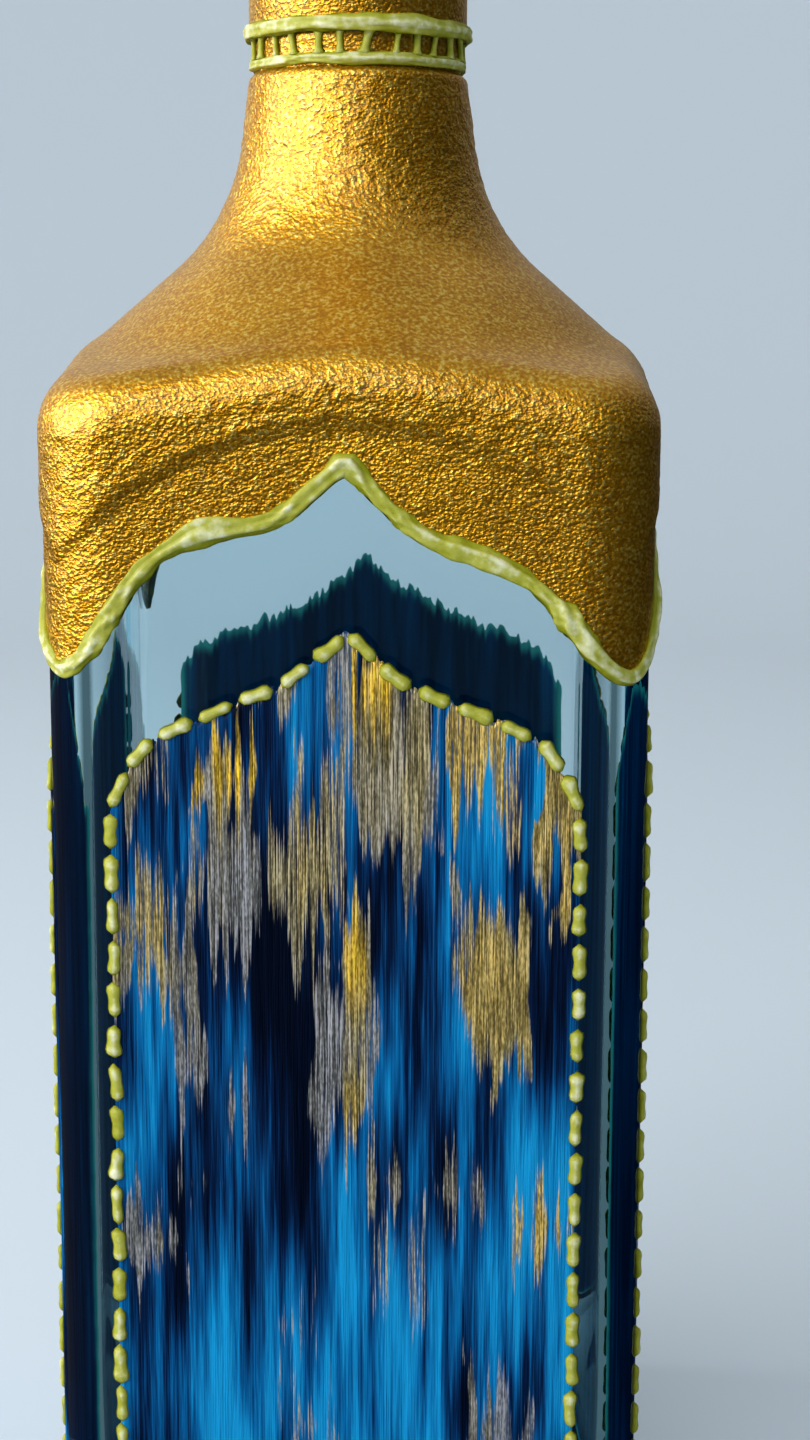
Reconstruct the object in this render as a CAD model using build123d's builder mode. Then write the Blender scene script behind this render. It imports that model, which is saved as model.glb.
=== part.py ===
"""A square spirit bottle dressed as a genie bottle.

The glass is a rounded square with a conical shoulder and a round neck. A textured
gold coat covers the shoulder and neck down to an ogee arch on every face. Raised
paste beads trim the coat, two paste rings and a row of short bars circle the neck,
and each face carries a painted window inside a dashed paste border. A sleeve
covers the bare neck up to the lip, which a cork with a round head closes.

Lengths are millimetres. +Z is up, the origin is the middle of the base, and the
front face looks along -Y.
"""

import os
from math import atan2, cos, degrees, hypot, pi, radians, sin, tan

from build123d import *

# Glass body
label_width = 79.0  # across two opposite label faces
corner_radius = 10.0  # upright corners between the label faces
shoulder_proud = 0.45  # the shoulder stands this far outside the label faces
glass_wall = 4.5
base_thickness = 21.0
heel_round = 5.0
pushup_radius = 29.0
pushup_crown_radius = 12.0
pushup_depth = 3.0

# Shoulder and neck, seen from the side
rim_radius = 37.7  # where the shoulder cone flattens
rim_height = 170.7
rim_fall = 16.5  # degrees below level, outside the rim
cone_fall = 40.8  # degrees below level, inside the rim
rim_round = 20.0
shoulder_round = 7.5
flare_round = 27.0  # sweep of the cone into the neck
collar_radius = 14.65  # top of the tapered neck, below the groove
neck_taper = 8.0  # degrees off upright, below the collar
neck_radius = 13.8
neck_above_rim = 37.6  # from the rim up to the groove
neck_length = 49.7  # from the groove up to the lip
lip_chamfer = 1.0
bore_radius = 9.5
bore_depth = 46.0

# Top edge of the label recess
recess_below_rim = 8.4
recess_arch_radius = 48.0

# Gold coat and the bond under everything laid on curved glass
coat_thickness = 0.45
bond_gap = 0.05
coat_edge_gap = 0.15

# Ogee arch of the coat, one on each face
arch_below_rim = 13.1
arch_drop = 27.2  # from the peak to the valleys at the corners
arch_turn_shares = ((0.31, 0.32), (0.627, 0.375), (0.891, 0.511))  # of half flat, drop
arch_foot_share = 0.665  # how much of the drop lies on the flat of the face
arch_round_shares = (0.47, 0.68, 0.595)  # of half the flat
arch_bead_width = 2.5
arch_bead_height = 1.2
bead_section_shares = ((1.0, 0.0), (0.9, 0.55), (0.4, 1.0))  # of half width, height
arch_flat_steps = 16
arch_corner_steps = 5

# Painted window and its dashed border, one on each face
window_below_arch = 21.7
window_foot = 11.5  # above the base
window_half_width = 30.4
window_turn_shares = ((0.23, 0.204), (0.855, 0.47), (1.0, 0.74))
window_crown = 30.4  # depth of the shaped top
window_round_shares = (0.5, 0.34, 0.3)
window_foot_round = 3.0
paint_thickness = 0.3
dash_length = 4.7
dash_width = 1.5
dash_height = 0.9
dash_pitch = 5.7

# Paste rings and bars round the neck
ring_lower_width = 1.5
ring_lower_height = 0.7
ring_upper_width = 2.0
ring_upper_height = 0.6
bar_count = 26
bar_root_width = 1.2
bar_tip_width = 0.8
bar_depth = 0.7

# Neck sleeve
groove_length = 4.6  # bare neck between the lower ring's foot and the sleeve
sleeve_wall = 1.2
sleeve_rim_show = 0.4  # bare rim left below the upper ring
sleeve_top_gap = 0.5  # below the lip
sleeve_chamfer = 0.4

# Stopper
cork_clearance = 0.05
cork_length = 20.0  # below the lip
cork_socket = 4.0  # depth of the head's socket
cork_chamfer = 1.0
head_radius = 15.05
head_height = 15.0
head_top_chamfer = 1.2
head_foot_chamfer = 0.4

overrun = 5.0  # how far cutting tools pass the faces they cut

# Places worked out from the sizes above
label_half = label_width / 2
flat_half = label_half - corner_radius
groove_foot = rim_height + neck_above_rim
lip_height = groove_foot + neck_length
step_height = collar_radius - neck_radius
sleeve_foot = groove_foot + groove_length
arch_peak = rim_height - arch_below_rim
window_peak = arch_peak - window_below_arch
arch_half = flat_half + corner_radius * sin(pi / 4)
arch_foot_drop = arch_drop * arch_foot_share
groove_coat_radius = neck_radius + bond_gap + coat_thickness
sleeve_radius = neck_radius + bond_gap + sleeve_wall
ring_radius = groove_coat_radius + bond_gap
ring_foot = groove_foot + coat_thickness
bar_foot = ring_foot + ring_lower_width + bond_gap
cork_radius = bore_radius - cork_clearance
sides = ("front", "right", "back", "left")
turns = {side: index * 360 / len(sides) for index, side in enumerate(sides)}
corner_turn = 180 / len(sides)


def face_plane(turn, out):
    """The upright plane of the face that is turned about the axis, out from it."""
    return Plane.XZ.rotated((0, 0, turn)).offset(out)


def label_recess(grow):
    """All that lies outside the label faces and below the arched recess edges."""
    arch = recess_arch_radius - grow
    arch_centre = rim_height - recess_below_rim - recess_arch_radius
    with BuildPart() as recess:
        for turn in (turns["front"], turns["right"]):
            with BuildSketch(face_plane(turn, 0)):
                with Locations((0, arch_centre)):
                    Circle(arch)
                    Rectangle(2 * arch, arch_centre + overrun, align=(Align.CENTER, Align.MAX))
            extrude(amount=label_width, both=True)
        with BuildSketch(Plane.XY.offset(-2 * overrun)):
            width = label_width + 2 * grow
            RectangleRounded(width, width, corner_radius + grow)
        extrude(amount=lip_height + overrun, mode=Mode.SUBTRACT)
    return recess.part


def bottle_form(grow, outside=True):
    """The solid outline of the glass, moved outwards by grow, or inwards if negative.

    The inside has plain corners on the shoulder and no label recess.
    """
    far = label_half * 2
    taper = tan(radians(neck_taper))
    cone = tan(radians(cone_fall))
    collar_height = groove_foot - step_height
    # The tapered neck and the cone meet here, before the flare rounds the corner
    flare_height = (
        rim_height + cone * (rim_radius - collar_radius - taper * collar_height)
    ) / (1 - cone * taper)
    flare_radius = collar_radius + taper * (collar_height - flare_height)
    half_outline = [
        (neck_radius, lip_height),
        (neck_radius, groove_foot),
        (collar_radius, collar_height),
        (flare_radius, flare_height),
        (rim_radius, rim_height),
        (far, rim_height - (far - rim_radius) * tan(radians(rim_fall))),
    ]
    rounds = [0, 0, flare_round, rim_round]
    half_width = label_half + shoulder_proud + grow
    with BuildPart() as form:
        # The turned surface starts and ends on a corner, clear of the label faces
        with BuildSketch(face_plane(corner_turn, 0)):
            with BuildLine():
                if outside:
                    right = FilletPolyline(*half_outline, radius=rounds)
                else:
                    right = Polyline(*half_outline)
                left = mirror(right, about=Plane.YZ)
                Line(right @ 0, left @ 0)
                Polyline(right @ 1, (far, -overrun), (-far, -overrun), left @ 1)
            make_face()
            if grow:
                offset(amount=grow, kind=Kind.INTERSECTION)
            Rectangle(
                2 * far,
                2 * lip_height + overrun,
                align=(Align.MIN, Align.CENTER),
                mode=Mode.INTERSECT,
            )
        revolve(axis=Axis.Z)
        with BuildSketch(Plane.XY):
            square = 2 * half_width
            RectangleRounded(square, square, corner_radius + shoulder_proud + grow)
        extrude(amount=lip_height + overrun, mode=Mode.INTERSECT)
        if outside:
            upright = form.faces().filter_by(
                lambda face: abs(face.normal_at().Z) < sin(radians(1))
                and hypot(face.center().X, face.center().Y) > half_width / 2
            )
            shoulder_edges = upright.edges().filter_by(
                lambda edge: (edge @ 0.5).Z > rim_height / 2
                and abs((edge % 0.5).Z) < cos(pi / 6)
            )
            fillet(shoulder_edges, shoulder_round + grow)
            add(label_recess(grow), mode=Mode.SUBTRACT)
    return form.part


def cavity():
    """The space inside the glass below the ground bore."""
    with BuildPart() as space:
        add(bottle_form(-glass_wall, outside=False))
        with BuildSketch(Plane.XY.offset(base_thickness)):
            Rectangle(2 * label_width, 2 * label_width)
        extrude(amount=lip_height, mode=Mode.INTERSECT)
    return space.part


def surface_place(run, height, out):
    """A place beside the front face of the glass, and the outward direction there.

    The run is measured along the glass from the middle of the face, and goes round
    the corner where it is longer than the flat.
    """
    side = 1 if run > 0 else -1
    angle = max(0, abs(run) - flat_half) / corner_radius
    reach = min(abs(run), flat_half) + (corner_radius + out) * sin(angle)
    depth = flat_half + (corner_radius + out) * cos(angle)
    place = Vector(side * reach, -depth, height)
    return place, Vector(side * sin(angle), -cos(angle), 0)


def arch_line():
    """The right half of the arch on the flat of the face, from its peak outwards."""
    turns_at = [(flat_half * x, arch_peak - arch_drop * z) for x, z in arch_turn_shares]
    foot = (flat_half, arch_peak - arch_foot_drop)
    rounds = [flat_half * share for share in arch_round_shares]
    return FilletPolyline((0, arch_peak), *turns_at, foot, radius=rounds)


def arch_course(steps_past=0):
    """Runs and heights along the front arch, from valley to valley or further."""
    with BuildLine():
        line = arch_line()
    spots = [line @ (step / arch_flat_steps) for step in range(arch_flat_steps)]
    half = [(spot.X, spot.Y) for spot in spots]
    for step in range(arch_corner_steps + 1 + steps_past):
        # Round the corner the arch sinks on, and is level at the valley
        angle = step / arch_corner_steps * pi / 4
        drop = arch_foot_drop + (arch_drop - arch_foot_drop) * sin(2 * angle)
        half.append((flat_half + corner_radius * angle, arch_peak - drop))
    return [(-run, height) for run, height in reversed(half[1:])] + half


def bead_section(half_width, height):
    """A flat-bottomed bead's outline, standing on the first axis."""
    half = [(half_width * x, height * z) for x, z in bead_section_shares]
    return half + [(-across, out) for across, out in reversed(half)]


def arch_bead():
    """The raised bead along the front arch, mitred at both valleys."""
    course = arch_course(steps_past=1)
    places = [surface_place(run, height, bond_gap) for run, height in course]
    with BuildPart() as bead:
        for (before, _), (here, outward), (after, _) in zip(places, places[1:], places[2:]):
            along = (here - before).normalized() + (after - here).normalized()
            half_width = arch_bead_width / along.length
            across = outward.cross(along)
            with BuildSketch(Plane(here, x_dir=across, z_dir=along)):
                Polygon(*bead_section(half_width, arch_bead_height), align=None)
        loft(ruled=True)
    return bead.part


def below_arch():
    """A tool that removes the coat below the front arch and its bead."""
    places = [surface_place(run, height, 0)[0] for run, height in arch_course()]
    edge = [(place.X, place.Z) for place in places]
    feet = [(arch_half, -overrun), (-arch_half, -overrun)]
    with BuildPart() as tool:
        with BuildSketch(face_plane(turns["front"], 0)):
            Polygon(*edge, *feet, align=None)
            offset(amount=arch_bead_width / 2 + coat_edge_gap, kind=Kind.INTERSECTION)
        extrude(amount=label_half + overrun)
    return tool.part


def window_outline():
    """The closed border line of a window, starting at its peak."""
    crown = [
        (window_half_width * x, window_peak - window_crown * z)
        for x, z in window_turn_shares
    ]
    feet = [(window_half_width, window_foot), (-window_half_width, window_foot)]
    mirrored = [(-x, height) for x, height in reversed(crown)]
    crown_rounds = [window_half_width * share for share in window_round_shares]
    rounds = [0, *crown_rounds, *[window_foot_round] * 2, *reversed(crown_rounds)]
    peak = (0, window_peak)
    return FilletPolyline(peak, *crown, *feet, *mirrored, radius=rounds, close=True)


def panel():
    """The paint inside the front face's dashed border."""
    with BuildPart() as paint:
        with BuildSketch(face_plane(turns["front"], label_half)):
            with BuildLine():
                window_outline()
            make_face()
            offset(amount=-(dash_width / 2 + bond_gap))
        extrude(amount=paint_thickness)
    return paint.part


def dash_border():
    """The separate paste dashes round the front window, evenly spaced."""
    with BuildLine():
        line = window_outline()
    count = round(line.length / dash_pitch)
    places = []
    for index in range(count):
        travel = (index + 0.5) / count * line.length
        spot = line.position_at(travel, position_mode=PositionMode.LENGTH)
        heading = line.tangent_at(travel, position_mode=PositionMode.LENGTH)
        places.append(Location(spot, (0, 0, degrees(atan2(heading.Y, heading.X)))))
    tip = dash_length / 2
    side = dash_width / 2
    half = [(tip, 0), (tip - side, side), (side - tip, side)]
    outline = half + [(-x, -z) for x, z in half]
    with BuildPart() as dashes:
        with BuildSketch(face_plane(turns["front"], label_half)):
            with Locations(*places):
                Polygon(*outline, align=None)
        extrude(amount=dash_height)
    return dashes.part


def neck_ring(radius, foot, width, height):
    """A paste bead round the neck, standing out from the given radius."""
    with BuildPart() as ring:
        with BuildSketch(Plane.XZ):
            section = bead_section(width / 2, height)
            Polygon(*[(radius + z, foot + width / 2 + x) for x, z in section], align=None)
        revolve(axis=Axis.Z)
    return ring.part


# The glass: outline, cavity, ground bore for the cork, heel and push-up
with BuildPart() as glass_bottle:
    add(bottle_form(0))
    heel = glass_bottle.faces().sort_by(Axis.Z)[0]
    fillet(heel.edges(), heel_round)
    Cone(
        pushup_radius,
        pushup_crown_radius,
        pushup_depth,
        align=(Align.CENTER, Align.CENTER, Align.MIN),
        mode=Mode.SUBTRACT,
    )
    add(cavity(), mode=Mode.SUBTRACT)
    with Locations((0, 0, lip_height)):
        Hole(bore_radius, depth=bore_depth)
    lip = glass_bottle.faces().sort_by(Axis.Z)[-1]
    chamfer(lip.edges(), lip_chamfer)

# The coat follows the glass, from the arches up to the sleeve
with BuildPart() as gold_coat:
    add(bottle_form(bond_gap + coat_thickness))
    add(bottle_form(bond_gap), mode=Mode.SUBTRACT)
    with BuildSketch(Plane.XY.offset(sleeve_foot - bond_gap)):
        Rectangle(label_width, label_width)
    extrude(amount=lip_height, mode=Mode.SUBTRACT)
    arch_tool = below_arch()
    for turn in turns.values():
        add(arch_tool.rotate(Axis.Z, turn), mode=Mode.SUBTRACT)

# Paste rings above and below the row of bars
with BuildPart() as neck_bead_lower:
    add(neck_ring(ring_radius, ring_foot, ring_lower_width, ring_lower_height))

with BuildPart() as neck_bead_upper:
    foot = sleeve_foot + sleeve_rim_show
    add(neck_ring(sleeve_radius + bond_gap, foot, ring_upper_width, ring_upper_height))

with BuildPart() as neck_bars:
    with BuildSketch(Plane.XY.offset(bar_foot)):
        root = bar_root_width / 2
        tip = bar_tip_width / 2
        with PolarLocations(ring_radius, bar_count):
            Polygon((0, -root), (bar_depth, -tip), (bar_depth, tip), (0, root), align=None)
    extrude(amount=sleeve_foot - bond_gap - bar_foot)

# The sleeve over the bare neck
with BuildPart() as neck_sleeve:
    sleeve_length = lip_height - sleeve_top_gap - sleeve_foot
    with BuildSketch(Plane.XY.offset(sleeve_foot)):
        Circle(sleeve_radius)
        Circle(neck_radius + bond_gap, mode=Mode.SUBTRACT)
    extrude(amount=sleeve_length)
    sleeve_top = neck_sleeve.faces().sort_by(Axis.Z)[-1]
    chamfer(sleeve_top.edges().sort_by(SortBy.LENGTH)[-1], sleeve_chamfer)

# The stopper: a round head with a cork glued into its socket
with BuildPart() as stopper_head:
    with BuildSketch(Plane.XY.offset(lip_height)):
        Circle(head_radius)
    extrude(amount=head_height)
    chamfer(stopper_head.edges().sort_by(Axis.Z)[-1], head_top_chamfer)
    chamfer(stopper_head.edges().sort_by(Axis.Z)[0], head_foot_chamfer)
    with BuildSketch(Plane.XY.offset(lip_height)):
        Circle(cork_radius + bond_gap)
    extrude(amount=cork_socket, mode=Mode.SUBTRACT)

with BuildPart() as stopper_cork:
    with BuildSketch(Plane.XY.offset(lip_height - cork_length)):
        Circle(cork_radius)
    extrude(amount=cork_length + cork_socket)
    chamfer(stopper_cork.edges().sort_by(Axis.Z)[0], cork_chamfer)

pieces = {
    "glass_bottle": glass_bottle.part,
    "gold_coat": gold_coat.part,
    "neck_bead_lower": neck_bead_lower.part,
    "neck_bead_upper": neck_bead_upper.part,
    "neck_bars": neck_bars.part,
    "neck_sleeve": neck_sleeve.part,
    "stopper_head": stopper_head.part,
    "stopper_cork": stopper_cork.part,
}

# The bead, the paint and the dashes are alike on all four faces
front_pieces = {"arch_bead": arch_bead(), "panel": panel(), "dash_border": dash_border()}
for name, piece in front_pieces.items():
    for side, turn in turns.items():
        pieces[f"{name}_{side}"] = piece.rotate(Axis.Z, turn)

os.makedirs("parts", exist_ok=True)
for name, piece in pieces.items():
    piece.label = name
    export_step(piece, f"parts/{name}.step")
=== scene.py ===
# %% [markdown]
# # A square glass bottle dressed as a genie bottle
#
# The bottle is teal glass. Gold paint with a hammered skin covers its neck and
# shoulder, raised yellow-green paste trims the paint, and every face carries a window
# of brushed blue and gold paint in a dashed border. This lesson rebuilds its looks
# round a frame of plain solids. Each surface is a formula on a grid of numbers, so
# that you can change a size at the top and see the whole piece follow.

# %% Load the frame
from itertools import product

import bpy
import numpy as np
from mathutils import Matrix, Vector


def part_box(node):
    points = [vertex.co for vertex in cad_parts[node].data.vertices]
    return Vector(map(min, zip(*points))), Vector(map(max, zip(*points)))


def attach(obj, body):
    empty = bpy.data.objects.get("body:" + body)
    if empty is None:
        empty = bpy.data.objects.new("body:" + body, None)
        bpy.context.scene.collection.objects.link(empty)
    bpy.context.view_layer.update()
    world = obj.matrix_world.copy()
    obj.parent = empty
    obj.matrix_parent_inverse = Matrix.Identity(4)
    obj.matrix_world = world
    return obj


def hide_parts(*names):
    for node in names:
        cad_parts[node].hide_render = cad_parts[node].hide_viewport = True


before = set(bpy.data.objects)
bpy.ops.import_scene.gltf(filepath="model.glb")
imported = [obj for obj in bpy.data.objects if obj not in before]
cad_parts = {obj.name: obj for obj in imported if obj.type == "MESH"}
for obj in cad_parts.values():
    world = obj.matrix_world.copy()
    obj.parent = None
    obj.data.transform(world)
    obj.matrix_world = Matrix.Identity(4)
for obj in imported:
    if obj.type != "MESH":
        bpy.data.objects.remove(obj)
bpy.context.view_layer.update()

mm = 0.001
print("plain solids:", sorted(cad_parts))

# %% [markdown]
# ## Places that the frame gives
#
# A piece has to lie where its plain solid lies, so the heights and widths come from
# the boxes round those solids. Blender works in metres here. The front of the bottle
# looks along -Y, and Z is up.

# %% Read the main places from the frame
def extent(node_name):
    """Radius, foot and top of the box round a plain solid."""
    low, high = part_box(node_name)
    return high[0], low[2], high[2]


shoulder_half, _, lip_height = extent("glass_bottle")
label_half = -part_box("panel_front")[1][1]
bead_over_arch = 1.73 * mm
arch_peak = extent("arch_bead_front")[2] - bead_over_arch
sleeve_radius, sleeve_foot, sleeve_top = extent("neck_sleeve")
head_radius, head_foot, head_top = extent("stopper_head")
cork_radius, cork_foot, cork_top = extent("stopper_cork")
corner_radius = 10 * mm
flat_half = label_half - corner_radius
print("lip", lip_height, "label faces", 2 * label_half, "arch peak", arch_peak)

# %% [markdown]
# ## Helpers for every surface
#
# A surface is a grid of points, in rows and columns. Neighbouring points make one
# four-sided face. The columns go round something, so the last one is joined to the
# first, and no seam is left open. Where a surface closes in one point, as in the middle
# of a base, a ring of triangles ends in that point.

# %% Turn grids of points into pieces
def grid_faces(rows, columns):
    """Quads between neighbouring points, and from the last column to the first."""
    index = np.arange(rows * columns).reshape(rows, columns)
    index = np.c_[index, index[:, :1]]
    quads = index[:-1, :-1], index[:-1, 1:], index[1:, 1:], index[1:, :-1]
    return np.stack(quads, -1).reshape(-1, 4).tolist()


def fan_faces(ring, pole, flip=False):
    """Triangles from every step of a closed ring of point numbers to one pole."""
    after = np.roll(ring, -1)
    pair = (after, ring) if flip else (ring, after)
    return np.stack([*pair, np.full(ring.size, pole)], -1).tolist()


def closed_faces(rows, columns):
    """A grid of rings with a fan at each end; the two poles are numbered after the grid."""
    count = rows * columns
    faces = grid_faces(rows, columns) + fan_faces(np.arange(columns), count, flip=True)
    return faces + fan_faces(np.arange(columns) + count - columns, count + 1)


def tyre_faces(rows, columns):
    """Quads of a grid that is closed in both directions."""
    index = np.arange(rows * columns).reshape(rows, columns)
    after = np.roll(index, -1, 0)
    quads = index, np.roll(index, -1, 1), np.roll(after, -1, 1), after
    return np.stack(quads, -1).reshape(-1, 4).tolist()


def skin_with_poles(points):
    """Rings of points, closed in the middle of the first ring and of the last."""
    poles = points[[0, -1]].mean(1)
    return np.vstack([points.reshape(-1, 3), poles]), closed_faces(*points.shape[:2])


def many_skins(points, flip=False):
    """Many small grids of one size, each closed as skin_with_poles closes one."""
    count, rows, columns = points.shape[:3]
    step = rows * columns + 2
    vertices = np.concatenate([points.reshape(count, -1, 3), points[:, [0, -1]].mean(2)], 1)
    one = [face[::-1] if flip else face for face in closed_faces(rows, columns)]
    return vertices, [[corner + k * step for corner in face] for k in range(count) for face in one]


def smooth_mesh(name, points, faces, material):
    """A smooth mesh object at the origin, with its place in its points."""
    mesh = bpy.data.meshes.new(name)
    mesh.from_pydata(np.asarray(points).reshape(-1, 3).tolist(), [], faces)
    mesh.polygons.foreach_set("use_smooth", np.ones(len(mesh.polygons), bool))
    mesh.update()
    mesh.materials.append(material)
    made = bpy.data.objects.new(name, mesh)
    bpy.context.scene.collection.objects.link(made)
    print(name, len(mesh.vertices), "points", len(mesh.polygons), "faces")
    return made


def add_piece(name, points, faces, material, node_name, slot, body="bottle"):
    """A smooth mesh that rides on a body and stands for its plain solid."""
    piece = smooth_mesh(name, points, faces, material)
    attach(piece, body)
    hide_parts(node_name)
    return piece


def set_attribute(piece, name, values):
    """Stores one value for every point of a mesh."""
    layer = piece.data.attributes.new(name, "FLOAT", "POINT")
    layer.data.foreach_set("value", np.asarray(values, np.float32).ravel())


print("helpers for grids are ready")

# %% [markdown]
# ## Noise without pictures
#
# Hand work is never even. The unevenness of the paint and the paste comes from lattice
# noise: every corner of a cubic lattice gets a random value, and between the corners
# the values are blended by smooth weights. The same seed gives the same bottle again.

# %% Lattice noise
noise_table = np.random.default_rng(7).random(4096)
lattice_keys = np.array([73856093, 19349663, 83492791])


def lattice_noise(points, cell, seed=0):
    """Values from -1 to 1 at points, smooth over one cell of a random lattice."""
    place = np.asarray(points) / cell + 1000
    base = np.floor(place).astype(np.int64)
    part = place - base
    part = part * part * (3 - 2 * part)
    total = 0
    for corner in product((0, 1), repeat=3):
        keys = (base + corner + seed * 17) * lattice_keys
        hashed = np.bitwise_xor.reduce(keys, axis=-1) % noise_table.size
        weight = np.where(corner, part, 1 - part).prod(-1)
        total = total + weight * noise_table[hashed]
    return 2 * total - 1


def smooth_step(value):
    """0 below 0, 1 above 1, and a smooth rise between them."""
    value = np.clip(value, 0, 1)
    return value * value * (3 - 2 * value)


print("noise table of", noise_table.size, "values")

# %% [markdown]
# ## The outline of the glass
#
# The body is a rounded square and the shoulder is turned on a lathe, so one formula
# gives the distance from the axis at any azimuth and height. Above, it is the turned
# outline. Below, it is the wall. Between them a ball is rolled along both, and its
# track rounds the shoulder's edge. The label faces lie a little deeper than the
# shoulder, up to an arched edge on every face.

# %% Outline values
rim_height = 170.7 * mm
groove_foot = 208.3 * mm
neck_radius = 13.8 * mm
collar_radius = 14.65 * mm
collar_height = groove_foot - (collar_radius - neck_radius)
rim_radius = 37.7 * mm
cone_slope = np.tan(np.radians(40.8))
rim_slope = np.tan(np.radians(16.5))
neck_slope = np.tan(np.radians(8.0))
flare_round = 27 * mm
rim_round = 20 * mm
shoulder_ball = 8 * mm
recess_arch_radius = 48 * mm
recess_below_rim = 8.4 * mm
recess_arch_centre = rim_height - recess_below_rim - recess_arch_radius
recess_fade = 3 * mm


def rounded_path(corners, radii, arc_steps=12):
    """Straight runs between corners, with a tangent arc of the given radius in each."""
    corners = np.asarray(corners, float)
    path = [corners[:1]]
    for before, here, after, radius in zip(corners, corners[1:], corners[2:], radii):
        back = (before - here) / np.linalg.norm(before - here)
        ahead = (after - here) / np.linalg.norm(after - here)
        half = np.arccos(np.clip(back @ ahead, -1, 1)) / 2
        inward = (back + ahead) / np.linalg.norm(back + ahead)
        centre = here + inward * radius / np.sin(half)
        first = here + back * radius / np.tan(half) - centre
        last = here + ahead * radius / np.tan(half) - centre
        share = np.linspace(0, 1, arc_steps)[:, None]
        sweep = max(np.pi - 2 * half, 1e-6)
        arc = np.sin((1 - share) * sweep) * first + np.sin(share * sweep) * last
        path.append(centre + arc / np.sin(sweep) if radius else here[None])
    return np.concatenate([*path, corners[-1:]])


# The tapered neck and the cone meet here, before the flare rounds the corner
flare_run = rim_radius - collar_radius - neck_slope * collar_height
flare_height = (rim_height + cone_slope * flare_run) / (1 - cone_slope * neck_slope)
flare_radius = collar_radius + neck_slope * (collar_height - flare_height)
turned = rounded_path(
    [
        (neck_radius, lip_height),
        (neck_radius, groove_foot),
        (collar_radius, collar_height),
        (flare_radius, flare_height),
        (rim_radius, rim_height),
        (2 * rim_radius, rim_height - rim_radius * rim_slope),
    ],
    [0, 0, flare_round, rim_round],
)
print("turned outline:", len(turned), "points, flare at", flare_radius, flare_height)

# %% The distance from the axis
def square_radius(azimuth, half, corner):
    """Distance from the axis to a rounded square, met either on its flat or its corner."""
    reach = np.abs([np.cos(azimuth), np.sin(azimuth)])
    large, small = reach.max(0), reach.min(0)
    centre = half - corner
    on_flat = half / large
    inside = np.maximum(corner**2 - (centre * (large - small)) ** 2, 0)
    on_corner = centre * (large + small) + np.sqrt(inside)
    return np.where(half * small / large <= centre, on_flat, on_corner)


# The track of the ball's centre under the turned outline
steps_along = np.linspace(0, len(turned) - 1, 1200)
turned_index = np.arange(len(turned))
dense_radius, dense_height = (np.interp(steps_along, turned_index, turned[:, k]) for k in (0, 1))
leaning = np.gradient(dense_height, dense_radius + 1e-9 * steps_along)
track_radius = dense_radius + leaning / np.hypot(1, leaning) * shoulder_ball
track_height = dense_height - shoulder_ball / np.hypot(1, leaning)
below_neck = dense_radius > collar_radius + 4 * mm


def outer_radius(azimuth, height):
    """Turned outline above, wall below, and the rolled ball between them."""
    proud = shoulder_half - label_half
    wall = square_radius(azimuth, shoulder_half, corner_radius + proud)
    reach = wall - shoulder_ball
    track = track_radius[below_neck]
    centre = np.interp(reach, track, track_height[below_neck])
    touch = np.interp(reach, track, dense_height[below_neck])
    ball = reach + np.sqrt(np.maximum(shoulder_ball**2 - (height - centre) ** 2, 0))
    spun = np.interp(-height, -turned[:, 1], turned[:, 0])
    radius = np.where(height > touch, spun, np.where(height > centre, ball, wall))
    # The label faces lie deeper than the shoulder, below an arch on every face
    sideways = radius * np.abs([np.cos(azimuth), np.sin(azimuth)]).min(0)
    arch = np.sqrt(np.maximum(recess_arch_radius**2 - sideways**2, 0)) + recess_arch_centre
    label = square_radius(azimuth, label_half, corner_radius)
    return radius - (wall - label) * smooth_step((arch - height) / recess_fade + 0.5)


def around_axis(azimuth, radius, height):
    """Points at a distance from the axis, turned to their azimuth."""
    x, y = radius * np.cos(azimuth), radius * np.sin(azimuth)
    return np.stack(np.broadcast_arrays(x, y, height), -1)


def on_face(heading, across, depth):
    """A place across a face and in front of the axis, turned to the way that it heads."""
    x = across * np.cos(heading) + depth * np.sin(heading)
    return x, across * np.sin(heading) - depth * np.cos(heading)


# A quarter of the way round is a flat, a quarter circle and a flat
quarter_run = 2 * flat_half + corner_radius * np.pi / 2
wall_length = 4 * quarter_run


def wall_place(run):
    """A place by its run along the label faces, from the middle of the front one."""
    turn = np.round(run / quarter_run)
    rest = run - turn * quarter_run
    angle = np.maximum(np.abs(rest) - flat_half, 0) / corner_radius * np.sign(rest)
    across = np.clip(rest, -flat_half, flat_half) + corner_radius * np.sin(angle)
    depth = flat_half + corner_radius * np.cos(angle)
    heading = turn * np.pi / 2
    return *on_face(heading, across, depth), heading + angle - np.pi / 2


print("way round the label faces:", wall_length)

# %% [markdown]
# ## The glass
#
# A bottle is one closed skin: down the outside, over the base, up the inside and over
# the lip. Glass in a render needs that inner wall, because light bends at both. The
# colour sits in the volume as absorption, so thick glass looks deeper than thin.

# %% The closed skin of the glass
glass_wall = 4.5 * mm
inner_corner = 5.6 * mm
base_thickness = 16 * mm
bore_radius = 9.5 * mm
heel_round = 5 * mm
bearing_radius = 29 * mm
pushup_depth = 3 * mm
floor_round = 5 * mm
floor_dome = 1.5 * mm
lip_round = 1.2 * mm
cavity_blend = 6 * mm
glass_wave = 0.12 * mm
glass_columns = 320

runs = np.arange(glass_columns) / glass_columns * wall_length
glass_azimuth = np.arctan2(wall_place(runs)[1], wall_place(runs)[0])[None]

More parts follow.
